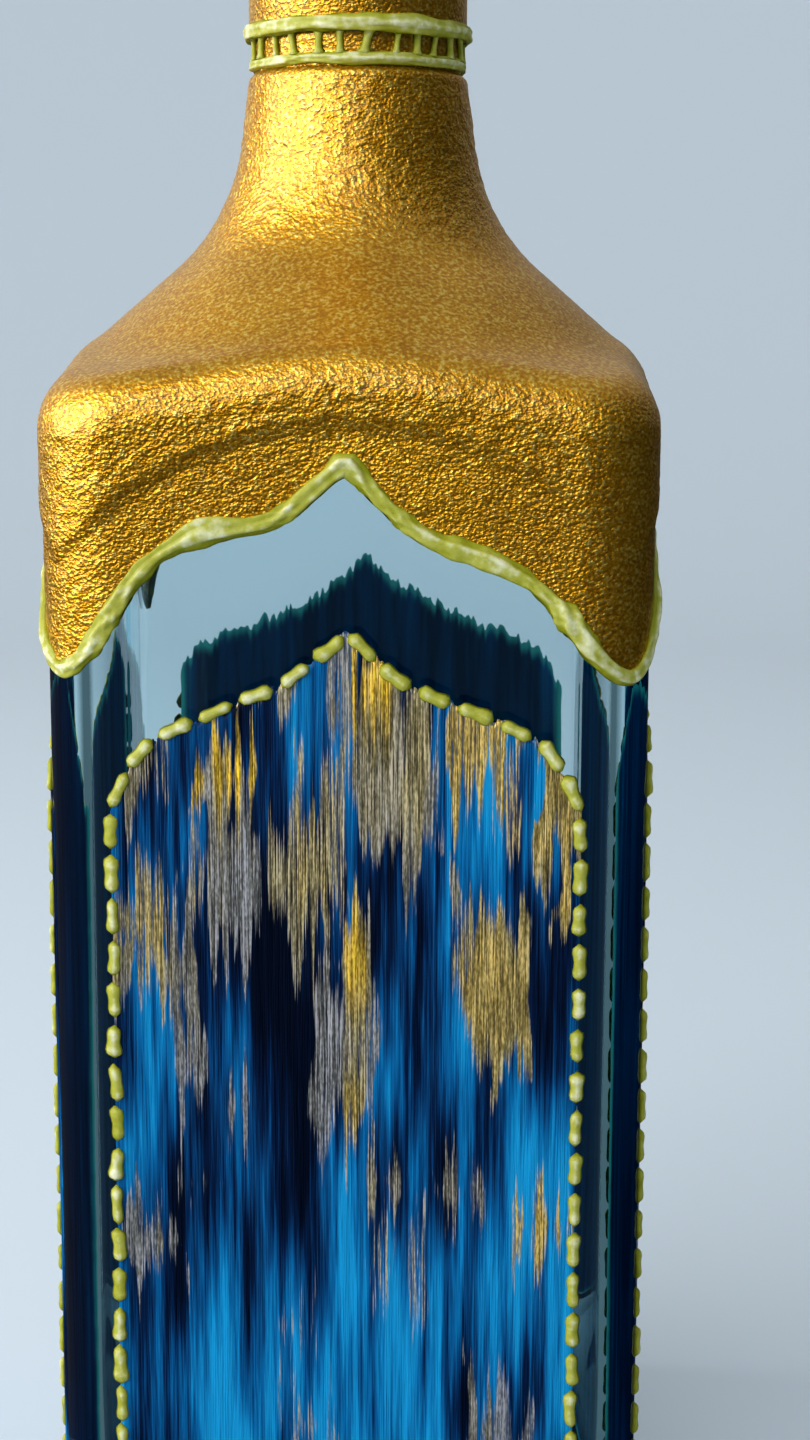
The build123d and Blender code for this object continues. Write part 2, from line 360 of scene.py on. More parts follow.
# The turned part of the cavity: the outline, one wall further in
cavity_radius = dense_radius + leaning / np.hypot(1, leaning) * glass_wall
cavity_height = dense_height - glass_wall / np.hypot(1, leaning)
cavity_outline = np.stack([cavity_radius, cavity_height], -1)[below_neck]
collar_inside = collar_radius - glass_wall, collar_height
neck_inside = (bore_radius, lip_height), (bore_radius, groove_foot), collar_inside
cavity_outline = np.vstack([*neck_inside, cavity_outline])


def spans(stops, counts):
    """Numbers that run from stop to stop, with a count of steps of its own in every run."""
    runs = [np.linspace(*pair, n)[1:] for pair, n in zip(zip(stops, stops[1:]), counts)]
    return np.concatenate(runs)[:, None]


def glass_rows():
    """Distance and height of every row, from the middle of the base over the lip to the floor."""
    one = np.ones_like(glass_azimuth)
    label = square_radius(glass_azimuth, label_half, corner_radius)
    # Base: from the crown of the push-up out to the bearing ring
    share = np.linspace(0.04, 1, 14)[:, None]
    rows = [(share * bearing_radius, pushup_depth * (1 - share**2))]
    # Heel: a quarter circle from the bearing ring's plane to the wall
    bend = np.linspace(0, np.pi / 2, 9)[:, None]
    rows.append((label - heel_round + heel_round * np.sin(bend), heel_round * (1 - np.cos(bend))))
    stops = [heel_round, 125 * mm, rim_height, groove_foot - 2 * mm, groove_foot + 2 * mm]
    heights = spans([*stops, lip_height - lip_round], [16, 64, 48, 9, 10])
    rows.append((outer_radius(glass_azimuth, heights), heights))
    # Lip: two rounded edges
    bend = np.linspace(0, np.pi / 2, 6)[1:, None]
    sine, cosine = lip_round * (1 - np.sin(bend)), lip_round * (1 - np.cos(bend))
    rows += [(neck_radius - cosine, lip_height - sine), (bore_radius + sine, lip_height - cosine)]
    # Inside: the bore, then the cavity one wall inside the outline
    bore_top = lip_height - 1.4 * mm
    stops = [bore_top, groove_foot, rim_height, 140 * mm, base_thickness + floor_round]
    down = np.vstack([[[bore_top]], spans(stops, [8, 44, 36, 14])])
    cavity_wall = square_radius(glass_azimuth, label_half - glass_wall, inner_corner)
    gap = cavity_wall - np.interp(-down, -cavity_outline[:, 1], cavity_outline[:, 0])
    # The larger of the gap and nothing, with a rounded change-over
    inside = cavity_wall - (gap + np.sqrt(gap**2 + cavity_blend**2)) / 2
    # Blown glass is smooth inside but never flat: it waves a little from side to side
    spot = around_axis(glass_azimuth, cavity_wall, down)
    inside = inside - glass_wave * lattice_noise(spot, np.array([7, 7, 60]) * mm, 5)
    rows.append((np.maximum(inside, bore_radius), down))
    # Floor: a rounded edge, then a low dome
    bend = np.linspace(0, np.pi / 2, 8)[1:, None]
    edge = inside[-1:] - floor_round * (1 - np.cos(bend))
    rows.append((edge, base_thickness + floor_round * (1 - np.sin(bend))))
    share = np.linspace(1, 0.04, 10)[1:, None]
    rows.append((share * (inside[-1:] - floor_round), base_thickness + floor_dome * (1 - share**2)))
    return np.vstack([radius * one for radius, _ in rows]), np.vstack([height * one for _, height in rows])


glass_radius, glass_height = glass_rows()
glass_grid = around_axis(glass_azimuth, glass_radius, glass_height)
print("glass grid", glass_grid.shape)

# %% Materials: a small kit
def srgb(red, green, blue):
    """A colour read from a picture, 0 to 255, as the light it stands for."""
    value = np.array([red, green, blue]) / 255
    light = np.where(value <= 0.04045, value / 12.92, ((value + 0.055) / 1.055) ** 2.4)
    return (*light, 1.0)


def fill_inputs(shader, values):
    """Joins a node's inputs to sockets, or sets them to plain values."""
    for key, value in dict(values).items():
        if isinstance(value, bpy.types.NodeSocket):
            shader.id_data.links.new(value, shader.inputs[key])
        else:
            shader.inputs[key].default_value = value


def node_maker(tree):
    """A function that adds a node to a tree and fills its inputs."""

    def node(kind, inputs=(), **settings):
        made = tree.nodes.new("ShaderNode" + kind)
        for key, value in settings.items():
            setattr(made, key, value)
        fill_inputs(made, inputs)
        return made

    return node


def new_material(name):
    """An empty node material with a Principled shader, and a function that adds nodes."""
    material = bpy.data.materials.new(name)
    material.use_nodes = True
    tree = material.node_tree
    return material, tree.nodes["Principled BSDF"], node_maker(tree)


print("white is", srgb(255, 255, 255))

# %% Materials: short names for common nodes
def calculate(node, operation, *values):
    """A Math node on up to three values or sockets."""
    return node("Math", enumerate(values), operation=operation).outputs[0]


def map_range(node, value, low, high, to_low=0.0, to_high=1.0):
    """A value carried from one range to another, held at the ends."""
    ends = {"From Min": low, "From Max": high, "To Min": to_low, "To Max": to_high}
    return node("MapRange", {"Value": value, **ends}).outputs["Result"]


def mix(node, factor, first, second, **settings):
    """Two values, or with data_type RGBA two colours, blended by a factor."""
    return node("Mix", {"Factor": factor, "A": first, "B": second}, **settings).outputs["Result"]


def attribute(node, name):
    """A value that is stored at the points of the mesh."""
    return node("Attribute", attribute_name=name).outputs["Fac"]


def object_place(node, up_scale=None):
    """Object coordinates; an up_scale below 1 draws a pattern out along Z."""
    place = node("TexCoord").outputs["Object"]
    if up_scale is None:
        return place
    return node("Mapping", {"Vector": place, "Scale": (1.0, 1.0, up_scale)}).outputs["Vector"]


def noise(node, place, scale, detail):
    """Soft noise at a place."""
    return node("TexNoise", {"Vector": place, "Scale": scale, "Detail": detail}).outputs["Fac"]


def ramp(node, factor, stops):
    """A colour ramp with (place, colour) stops, driven by factor."""
    made = node("ValToRGB", {"Fac": factor})
    elements = made.color_ramp.elements
    while len(elements) < len(stops):
        elements.new(0.5)
    for element, (place, colour) in zip(elements, stops):
        element.position = place
        element.color = colour
    return made.outputs["Color"]


def bump(node, height, strength, distance):
    """Normals that rise and fall with a height."""
    inputs = {"Height": height, "Strength": strength, "Distance": distance}
    return node("Bump", inputs).outputs["Normal"]


print("helpers for materials are ready")

# %% Teal glass
teal = (0.055, 0.79, 0.97, 1)
glass_material, glass_shader, node = new_material("teal_glass")
clear = {"Base Color": (1, 1, 1, 1), "Roughness": 0.02, "IOR": 1.5, "Transmission Weight": 1}
fill_inputs(glass_shader, clear)
absorption = node("VolumeAbsorption", {"Color": teal, "Density": 42.0})
output = glass_material.node_tree.nodes["Material Output"]
fill_inputs(output, {"Volume": absorption.outputs["Volume"]})
add_piece("glass_body", *skin_with_poles(glass_grid), glass_material, "glass_bottle", "glass")

# %% [markdown]
# ## The ogee arch
#
# One line drives the coat's edge and the paste bead on it. On the flat of a face it is
# a run of tangent arcs. Round the corner it sinks on and is level at the valley, so
# that the four faces meet in one smooth line.

# %% The line of the arch
arch_drop = 27.2 * mm
arch_half = flat_half + corner_radius * np.sin(np.pi / 4)
arch_foot_share = (flat_half / arch_half, 0.665)
arch_turn_shares = np.array([(0, 0), (0.25, 0.32), (0.506, 0.375), (0.719, 0.511), arch_foot_share])
arch_rounds = np.array([0.38, 0.55, 0.48]) * arch_half
arch_shape = rounded_path(arch_turn_shares * [arch_half, arch_drop], arch_rounds, 16)

# How far the hand strayed from the drawn arch, left and right of the middle of each face
drift_once = np.array([[0.1, -2.9], [-0.9, 0.6], [3.2, 5.5], [0.5, -1.0]]) * mm
drift_twice = np.array([[1.3, 0.2], [0.3, -0.4], [-1.2, -3.2], [0.3, 0.5]]) * mm


def arch_height(run):
    """Height of the arch by its run along the wall; the faces differ only by the drift.

    The drift is a sin(pi s s) + b sin(2 pi s s), with s from 0 at the peak to 1 at the valley.
    """
    number = np.round(run / quarter_run)
    rest = run - number * quarter_run
    face, side = number.astype(int) % 4, (rest > 0).astype(int)
    rest = np.abs(rest)
    phase = np.pi * (2 * rest / quarter_run) ** 2
    drift = drift_once[face, side] * np.sin(phase) + drift_twice[face, side] * np.sin(2 * phase)
    on_flat = np.interp(rest, arch_shape[:, 0], arch_shape[:, 1])
    foot = arch_shape[-1, 1]
    # Round the corner it sinks partly evenly and partly as a sine, which ends level
    angle = np.maximum(rest - flat_half, 0) / corner_radius
    sunk = 0.55 * np.sin(2 * angle) + 0.45 * angle / (np.pi / 4)
    round_corner = foot + (arch_drop - foot) * sunk
    return arch_peak + drift - np.where(rest > flat_half, round_corner, on_flat)


print("valleys at", arch_height(np.array([quarter_run / 2])))

# %% [markdown]
# ## The gold coat
#
# The coat is a skin about half a millimetre thick on the glass. Its texture is real
# relief: coarse bumps are moved into the mesh, and only the finest grain is left to
# the material. Points are spread evenly along every column, from the arch to the neck.

# %% A skin that follows the glass
def even_rows(points, rows):
    """Slides the points of every column along it until they are evenly spaced."""
    gaps = np.linalg.norm(np.diff(points, axis=0), axis=-1)
    travel = np.vstack([np.zeros(points.shape[1]), np.cumsum(gaps, 0)])
    travel /= travel[-1]
    offset = 2 * np.arange(points.shape[1])
    wanted = np.linspace(0, 1, rows)[:, None] + offset
    known = (travel + offset).T.ravel()
    axes = [np.interp(wanted.T.ravel(), known, points[..., k].T.ravel()) for k in range(3)]
    return np.stack(axes, -1).reshape(points.shape[1], rows, 3).transpose(1, 0, 2)


def grid_normals(points):
    """Outward directions of a grid that goes round the axis and upwards."""
    around = np.roll(points, -1, 1) - np.roll(points, 1, 1)
    up = np.gradient(points, axis=0)
    normal = np.cross(around, up)
    return normal / np.linalg.norm(normal, axis=-1, keepdims=True)


coat_columns = 560
coat_rows = 150
coat_thickness = 0.5 * mm
seam_height = 176 * mm
seam_lap = 1 * mm
coat_runs = np.arange(coat_columns) / coat_columns * wall_length
coat_azimuth = np.arctan2(wall_place(coat_runs)[1], wall_place(coat_runs)[0])[None]
lean = np.array([[1.0, 0, 0.3], [0, 1.0, 0], [-0.3, 0, 1.0]])


def coat_shell(low, high, dip_above=None, dip_below=None):
    """A closed shell between two heights, and how far every point faces the sky.

    Beyond a seam the skin dips into the glass, so that two shells meet unseen.
    """
    heights = low + (high - low) * np.linspace(0, 1, 900)[:, None]
    base = around_axis(coat_azimuth, outer_radius(coat_azimuth, heights), heights)
    base = even_rows(base, coat_rows)
    normal = grid_normals(base)
    # Hammered bumps: leaning a little, lower and finer where the coat faces upwards
    bumps = 0.085 * lattice_noise(base @ lean, np.array([0.95, 0.95, 0.75]) * mm, 1)
    bumps += 0.055 * lattice_noise(base @ lean, np.array([1.9, 1.9, 1.4]) * mm, 2)
    sky = smooth_step((normal[..., 2] - 0.4) / 0.35)
    lift = coat_thickness - 0.08 * mm + bumps * (1 - 0.72 * sky) * mm
    lift += 0.1 * mm * lattice_noise(base, 9 * mm, 3)
    seen = np.ones_like(lift)
    if dip_above:
        seen = smooth_step((dip_above + seam_lap - base[..., 2]) / seam_lap)
    if dip_below:
        seen = smooth_step((base[..., 2] - dip_below + seam_lap) / seam_lap)
    lift = lift * seen - 0.04 * mm * (1 - seen)
    outer = base + normal * lift[..., None]
    inner = (base - normal * 0.05 * mm)[::-1][::6]
    shell = np.concatenate([outer, inner])
    return shell, np.concatenate([sky, 0 * sky[: len(inner)]])


arch_edge = arch_height(coat_runs)[None]
shoulder_coat = coat_shell(arch_edge, seam_height + seam_lap, dip_above=seam_height)
neck_coat = coat_shell(seam_height - seam_lap, sleeve_foot - 0.05 * mm, dip_below=seam_height)
print("coat shells", shoulder_coat[0].shape, neck_coat[0].shape)

# %% [markdown]
# ## The grain of metal paint
#
# Gold paint dries in fine grains. The grain's colour is painted light: darker in the
# hollows as painted shade and brighter on the crests as painted highlights. The
# coat and the sleeve of the neck share that grain, so it is built once as a node
# group, and each material places it with scales of its own. The shader stays in the
# material, because an exported model can't look for it inside a group.

# %% The grain as a node group
def metal_grain_with_painted_light():
    """Node group: metal paint dried in grains, as a colour and as a height.

    The grains are noise, a little longer than wide and slanted. Their height also picks
    the colour: painted shade in a hollow and a painted highlight on a crest.
    """
    group = bpy.data.node_groups.new("metal_grain_with_painted_light", "ShaderNodeTree")
    for name, way, kind in (
        ("Grain Scale", "INPUT", "Float"),
        ("Cloud Scale", "INPUT", "Float"),
        ("Color", "OUTPUT", "Color"),
        ("Height", "OUTPUT", "Float"),
    ):
        group.interface.new_socket(name, in_out=way, socket_type="NodeSocket" + kind)
    node = node_maker(group)
    scales = group.nodes.new("NodeGroupInput").outputs
    place = object_place(node)
    slanted = {"Vector": place, "Rotation": (0, 0.35, 0), "Scale": (1.0, 1.0, 1.25)}
    slanted = node("Mapping", slanted).outputs["Vector"]
    grain = noise(node, slanted, scales["Grain Scale"], 1.0)
    # Painted light: hollows of the grain are painted darker as shade, crests paler as highlights
    gold_shade_to_highlight = [(0.34, srgb(200, 134, 0)), (0.53, srgb(232, 170, 6)), (0.7, srgb(255, 224, 110))]
    cloudy = [(0.35, (0.88, 0.86, 0.8, 1)), (0.65, (1, 1, 1, 1))]
    clouds = ramp(node, noise(node, place, scales["Cloud Scale"], 2.0), cloudy)
    coloured = mix(node, 1.0, ramp(node, grain, gold_shade_to_highlight), clouds, data_type="RGBA", blend_type="MULTIPLY")
    fill_inputs(group.nodes.new("NodeGroupOutput"), {"Color": coloured, "Height": grain})
    return group


gold_grain = metal_grain_with_painted_light()


def grain_nodes(node, grain_scale=1900.0, cloud_scale=90.0):
    """The grain group placed in a material, with that material's own scales."""
    placed = node("Group", node_tree=gold_grain)
    fill_inputs(placed, {"Grain Scale": grain_scale, "Cloud Scale": cloud_scale})
    return placed.outputs["Color"], placed.outputs["Height"]


print("node group", gold_grain.name)

# %% Hammered gold
gold_metallic = 0.85
grain_depth = 0.28 * mm
# The lacquered shine that every gold piece has
gold_shine = {"Roughness": 0.36, "Coat Weight": 0.28, "Coat Roughness": 0.28, "Coat IOR": 1.8}

gold_material, gold_shader, node = new_material("hammered_gold")
gold_with_painted_light, gold_height = grain_nodes(node)
satin_depth = map_range(node, attribute(node, "satin"), 0.0, 1.0, 1.0, 0.35)
gold_normal = bump(node, gold_height, satin_depth, grain_depth)
fill_inputs(gold_shader, {"Base Color": gold_with_painted_light, "Metallic": gold_metallic, "Normal": gold_normal})
fill_inputs(gold_shader, gold_shine)

for part, (shell, satin) in {"shoulder": shoulder_coat, "neck": neck_coat}.items():
    faces = tyre_faces(*shell.shape[:2])
    piece = add_piece(f"coat_{part}", shell, faces, gold_material, "gold_coat", "gold_paint")
    set_attribute(piece, "satin", satin)

# %% [markdown]
# ## Raised paste
#
# Relief paste comes out of a thin nozzle. It leaves a bead that is flat below and
# round above, with drawn lines along it and a width that wanders with the hand. The
# same section makes the arch beads, the rings and the dashes.

# %% Paste beads
bead_width = 3.0 * mm
bead_height = 1.3 * mm
section_points = 30


def bead_section(half_width, height, wave):
    """Across and out from the wall, round a flat-bottomed bead with lines drawn along it."""
    angle = np.linspace(0, 2 * np.pi, section_points, endpoint=False)
    lines = 1 + 0.11 * np.sin(5 * angle + 5 * wave) + 0.05 * np.sin(8 * angle - 8 * wave)
    across = half_width * np.cos(angle) * lines
    dome = np.sign(np.sin(angle)) * np.abs(np.sin(angle)) ** 0.8
    out = np.where(dome > 0, height * dome * lines, 0.06 * mm * dome)
    return across, out


def sweep_bead(centre, along, outward, width, height, wander=0.36):
    """Carries the bead's section along a line of centres that lies on a wall."""
    along = along / np.linalg.norm(along, axis=-1, keepdims=True)
    side = np.cross(outward, along)
    wide = lattice_noise(centre, 6 * mm, 11) + 0.5 * lattice_noise(centre, 2 * mm, 14)
    wide = wide[:, None] * wander
    wave = lattice_noise(centre, 5 * mm, 12)[:, None]
    shift = lattice_noise(centre, 6 * mm, 13)[:, None] * wander * width * 0.5
    across, out = bead_section(width / 2 * (1 + wide), height * (1 + 0.7 * wide), wave)
    sideways = side[:, None] * (across + shift)[..., None]
    points = centre[:, None] + sideways + outward[:, None] * out[..., None]
    crest = np.broadcast_to(np.clip(out / height, 0, 1), across.shape)
    return points, crest


arch_steps = 420
face_names = ["front", "right", "back", "left"]
paste_slot = "relief_paste"
print("bead", bead_width, "by", bead_height)

# %% Relief paste
paste_material, paste_shader, node = new_material("relief_paste")
speckle = noise(node, object_place(node), 700.0, 4.0)
# Painted light: the crest value paints every bead paler on top, as a highlight, and darker at its foot, as
# shade; the speckle is a random tone
speckle_and_painted_light = calculate(node, "MULTIPLY_ADD", speckle, 0.7, -0.2)
speckle_and_painted_light = calculate(node, "MULTIPLY_ADD", attribute(node, "crest"), 0.7, speckle_and_painted_light)
painted_shade_stops = [(0.1, srgb(94, 98, 0)), (0.5, srgb(148, 150, 20))]
painted_highlight_stops = [(0.75, srgb(180, 180, 74)), (1.0, srgb(236, 236, 196))]
paste_looks = {
    "Base Color": ramp(node, speckle_and_painted_light, painted_shade_stops + painted_highlight_stops),
    "Roughness": 0.42,
    "Specular IOR Level": 0.22,
    "Normal": bump(node, speckle, 0.35, 0.2 * mm),
}
fill_inputs(paste_shader, paste_looks)


def arch_points(runs):
    """Places on the arch by their run along the wall, and the way that the wall faces."""
    x, y, facing = wall_place(runs)
    return np.stack([x, y, arch_height(runs)], -1), facing


hair = 0.05 * mm
for number, face in enumerate(face_names):
    bead_runs = (number + np.linspace(-0.5, 0.5, arch_steps)) * quarter_run
    centre, facing = arch_points(bead_runs)
    along = arch_points(bead_runs + hair)[0] - arch_points(bead_runs - hair)[0]
    outward = np.stack([np.cos(facing), np.sin(facing), np.zeros_like(facing)], -1)
    # The bead is drawn thinner round the corners of the bottle
    rest = np.abs(bead_runs - number * quarter_run)
    slim = (1 - 0.3 * smooth_step((rest - flat_half) / (5 * mm)))[:, None]
    points, crest = sweep_bead(centre, along, outward, bead_width * slim, bead_height * slim)
    skin = skin_with_poles(points)
    piece = add_piece(f"arch_paste_{face}", *skin, paste_material, f"arch_bead_{face}", paste_slot)
    set_attribute(piece, "crest", np.r_[crest.ravel(), 0, 0])

# %% [markdown]
# ## The dashed border
#
# The border is sixty short strokes of paste on every face, laid along the outline of
# the window. All strokes of a face are one array: each is the same small grid, moved
# and turned to its place, with its own length, width and bend.

# %% The outline of the window
window_peak = arch_peak - 21.7 * mm
window_foot = 11.5 * mm
window_half = 30.4 * mm
window_crown = 30.4 * mm
window_turns = [(0.23, 0.204), (0.855, 0.47), (1.0, 0.74)]
crown_rounds = [0.5 * window_half, 0.34 * window_half, 0.3 * window_half]
right_side = [(x * window_half, window_peak - z * window_crown) for x, z in window_turns]
left_side = [(-x, z) for x, z in right_side[::-1]]
foot_line = [(window_half, window_foot), (-window_half, window_foot)]
foot_round = 3 * mm
window_line = rounded_path(
    [(0, window_peak), *right_side, *foot_line, *left_side, (0, window_peak)],
    [*crown_rounds, foot_round, foot_round, *crown_rounds[::-1]],
)
line_gaps = np.linalg.norm(np.diff(window_line, axis=0), axis=1)
line_travel = np.r_[0, np.cumsum(line_gaps)]
dash_pitch = 5.7 * mm
dash_count = round(line_travel[-1] / dash_pitch)
print("border", line_travel[-1], "dashes", dash_count)

# %% Dashes
dash_length = 4.9 * mm
dash_width = 2.2 * mm
dash_height = 0.9 * mm


def face_points(number, across, height, out):
    """Places on one label face: across it, up it and out from it."""
    past = np.maximum(np.abs(across) - flat_half, 0)
    depth = label_half + out - corner_radius + np.sqrt(corner_radius**2 - past**2)
    x, y = on_face(number * np.pi / 2, across, depth)
    return np.stack(np.broadcast_arrays(x, y, height), -1)


def dash_grids(number):
    """Every dash of a face as a small closed grid, shaped like a peanut."""
    rng = np.random.default_rng(40 + number)
    travel = (np.arange(dash_count) + 0.5) / dash_count * line_travel[-1]
    middle = [np.interp(travel, line_travel, window_line[:, k]) for k in (0, 1)]
    ahead = [np.interp(travel + 1 * mm, line_travel, window_line[:, k]) for k in (0, 1)]
    turn = np.arctan2(ahead[1] - middle[1], ahead[0] - middle[0])
    turn = turn + rng.normal(0, 0.05, dash_count)
    size = rng.normal(1, 0.07, (3, dash_count, 1, 1))
    bend = rng.normal(0, 0.12, (dash_count, 1, 1)) * mm
    lean = rng.normal(0, 0.12, (dash_count, 1, 1))
    lengthwise = np.linspace(-1, 1, 9)[:, None]
    angle = np.linspace(0, 2 * np.pi, 8, endpoint=False)[None]
    # The nose closes as a circle does, and the middle is drawn in a little
    nose = np.sqrt(np.maximum(1 - np.abs(lengthwise) ** 4, 0.02))
    waist = 1 - 0.24 * np.exp(-((lengthwise / 0.45) ** 2))
    along = size[0] * dash_length / 2 * lengthwise * np.ones_like(angle)
    width = size[1] * dash_width / 2 * nose * waist * (1 + lean * lengthwise)
    side = width * np.cos(angle) + bend * (1 - lengthwise**2)
    dome = np.sin(angle)
    out = size[2] * dash_height * nose * waist * np.maximum(dome, 0) + 0.03 * mm
    x, z, cosine, sine = (v[:, None, None] for v in (*middle, np.cos(turn), np.sin(turn)))
    return x + along * cosine - side * sine, z + along * sine + side * cosine, out


def many_crests(crest, end):
    """Crest values in the order of many_skins, with one value for both poles."""
    return np.concatenate([crest.reshape(len(crest), -1), np.full((len(crest), 2), end)], 1)


for number, face in enumerate(face_names):
    across, height, out = dash_grids(number)
    skins = many_skins(face_points(number, across, height, out))
    piece = add_piece(f"dashes_{face}", *skins, paste_material, f"dash_border_{face}", paste_slot)
    # A higher crest value paints the dashes' highlights paler than those of the beads
    crest = 0.1 + np.clip(out / dash_height, 0, 1.05)
    set_attribute(piece, "crest", many_crests(crest, 0.4))

# %% [markdown]
# ## The painted windows
#
# The paint is drawn downwards with a flat brush, many strokes over each other. The
# bristles leave fine upright ridges, and the strokes end in ragged tongues. Here every
# stroke is one array operation over the whole window, and the result is stored as a
# colour and a metal value for every point.

# %% Brush strokes
paint_columns = 318
paint_rows = 150
stroke_count = 50
high_part = 0.6


def brush_masks(across, height, seed):
    """Tone of the blue ground, cover of the dry gold strokes and how golden they are.

    The ground is smooth noise, much longer than wide. Each dry stroke is an upright
    patch whose sides wander and whose every bristle ends at its own height.
    """
    rng = np.random.default_rng(seed)
    place = np.stack([across, height, np.zeros_like(across)], -1)
    share = (height - window_foot) / (window_peak - window_foot)
    tone = 0.75 * lattice_noise(place, np.array([8, 30, 1]) * mm, seed)
    tone += 0.5 * lattice_noise(place, np.array([3.2, 16, 1]) * mm, seed + 1)
    tone += 0.3 * lattice_noise(place, np.array([1.1, 12, 1]) * mm, seed + 2)
    tone = 0.5 + 0.5 * tone + 0.13 * (1 - 1.6 * share)
    dry = np.zeros(across.shape)
    gilt = np.zeros(across.shape)
    for stroke in range(stroke_count):
        rise = rng.uniform(0.62, 1.02) if stroke % 5 < 3 else rng.uniform(0, 0.7)
        level = window_foot + (window_peak - window_foot) * rise
        middle = rng.uniform(-window_half, window_half)
        # Low strokes are slimmer, weaker and less golden
        thrift, fade = (1, 1.9) if rise > high_part else (0.95, 2.6)
        half_width = rng.uniform(1.4, 5.4) * thrift * mm
        length = rng.uniform(16, 42) * mm
        strength = rng.uniform(0.5, 1.0) * thrift
        golden = rng.uniform(0, 1) ** fade
        # Every bristle ends at its own height, and the brush wanders a little on its way
        ragged = lattice_noise(place[:1] / [1, 100, 1], 0.6 * mm, seed + 7 * stroke) * 8 * mm
        wavy = lattice_noise(place[:, :1] / [100, 1, 1], 9 * mm, seed + 3 * stroke) * 1.2 * mm
        inside = smooth_step((half_width - np.abs(across - middle + wavy)) / (1.1 * mm))
        ends = smooth_step((length / 2 + ragged - np.abs(height - level)) / (15 * mm))
        cover = inside * ends * strength
        gilt = gilt * (1 - cover) + golden * cover
        dry = np.maximum(dry, cover)
    return tone, dry, gilt


def window_top(across):
    """Height of the window's upper edge."""
    crown = window_line[: len(window_line) // 2]
    crown = crown[crown[:, 1] > window_peak - window_crown]
    return np.interp(np.abs(across), crown[:, 0], crown[:, 1])


print("window from", window_foot, "to", window_peak)

# %% Brushed paint
paint_material, paint_shader, node = new_material("brushed_paint")
upright = object_place(node, 0.02)
bristles = noise(node, upright, 5600.0, 2.0)
specks = noise(node, object_place(node, 0.25), 4600.0, 1.0)
wide = noise(node, upright, 1500.0, 2.0)
streaked = calculate(node, "MULTIPLY_ADD", wide, 0.7, attribute(node, "tone"))
streaked = calculate(node, "MULTIPLY_ADD", bristles, 0.6, streaked)
streaked = calculate(node, "SUBTRACT", streaked, 0.65)
navy = [(0.22, srgb(0, 8, 28)), (0.4, srgb(0, 26, 64))]
blue = [(0.55, srgb(0, 64, 116)), (0.7, srgb(0, 100, 160)), (0.92, srgb(14, 146, 206))]
grey_to_gold = [(0.0, srgb(138, 138, 132)), (0.4, srgb(168, 152, 98)), (0.85, srgb(232, 184, 40))]
metals = ramp(node, attribute(node, "gilt"), grey_to_gold)
# Dry paint sits on the bristle tracks only: the cover is a threshold on the streaks
cover = calculate(node, "MULTIPLY", bristles, 0.75)
cover = calculate(node, "MULTIPLY_ADD", attribute(node, "dry"), 0.75, cover)
cover = map_range(node, cover, 0.74, 0.88)
# Painted light: the crests of the tracks are painted brighter, as highlights, and the furrows darker, as
# shade
rough_track = mix(node, 0.3, bristles, specks)
track_painted_light = [(0.38, (0.2, 0.2, 0.26, 1)), (0.5, (0.75, 0.75, 0.75, 1)), (0.62, (2.2, 2.2, 2.7, 1))]
track_painted_light = ramp(node, rough_track, track_painted_light)
metals = mix(node, 1.0, metals, track_painted_light, data_type="RGBA", blend_type="MULTIPLY")
paint_looks = {
    "Base Color": mix(node, cover, ramp(node, streaked, navy + blue), metals, data_type="RGBA"),
    "Metallic": calculate(node, "MULTIPLY", cover, 0.35),
    "Roughness": 0.34,
    "Specular IOR Level": 0.1,
    "Normal": bump(node, bristles, 0.9, 0.25 * mm),
}
fill_inputs(paint_shader, paint_looks)
print(paint_material.name, "made of", len(paint_material.node_tree.nodes), "nodes")

# %% The back of the paint, seen through the glass
under_material, under_shader, node = new_material("paint_underside")
streaks = noise(node, object_place(node, 0.06), 500.0, 4.0)
fringe = attribute(node, "fringe")
thick = [(0.4, srgb(0, 56, 100)), (0.6, srgb(0, 90, 150)), (0.75, srgb(0, 120, 190))]
thin = mix(node, fringe, ramp(node, streaks, thick), srgb(60, 170, 165), data_type="RGBA")
under_looks = {
    "Base Color": thin,
    "Emission Color": thin,
    # Painted light: the back of the paint glows a little, most at its thin fringe, in place of the
    # daylight that reaches it through the glass
    "Emission Strength": calculate(node, "MULTIPLY_ADD", fringe, 0.2, 0.06),
    "Roughness": 1,
    "Specular IOR Level": 0,
}
fill_inputs(under_shader, under_looks)
print(under_material.name, "made of", len(under_material.node_tree.nodes), "nodes")

# %% Build the four windows
def lid_faces(index, half):
    """Quads that close the edge between the front half of a row and its back half."""
    front = index[:half]
    back = index[half:][::-1]
    return np.stack([front[:-1], back[:-1], back[1:], front[1:]], -1)


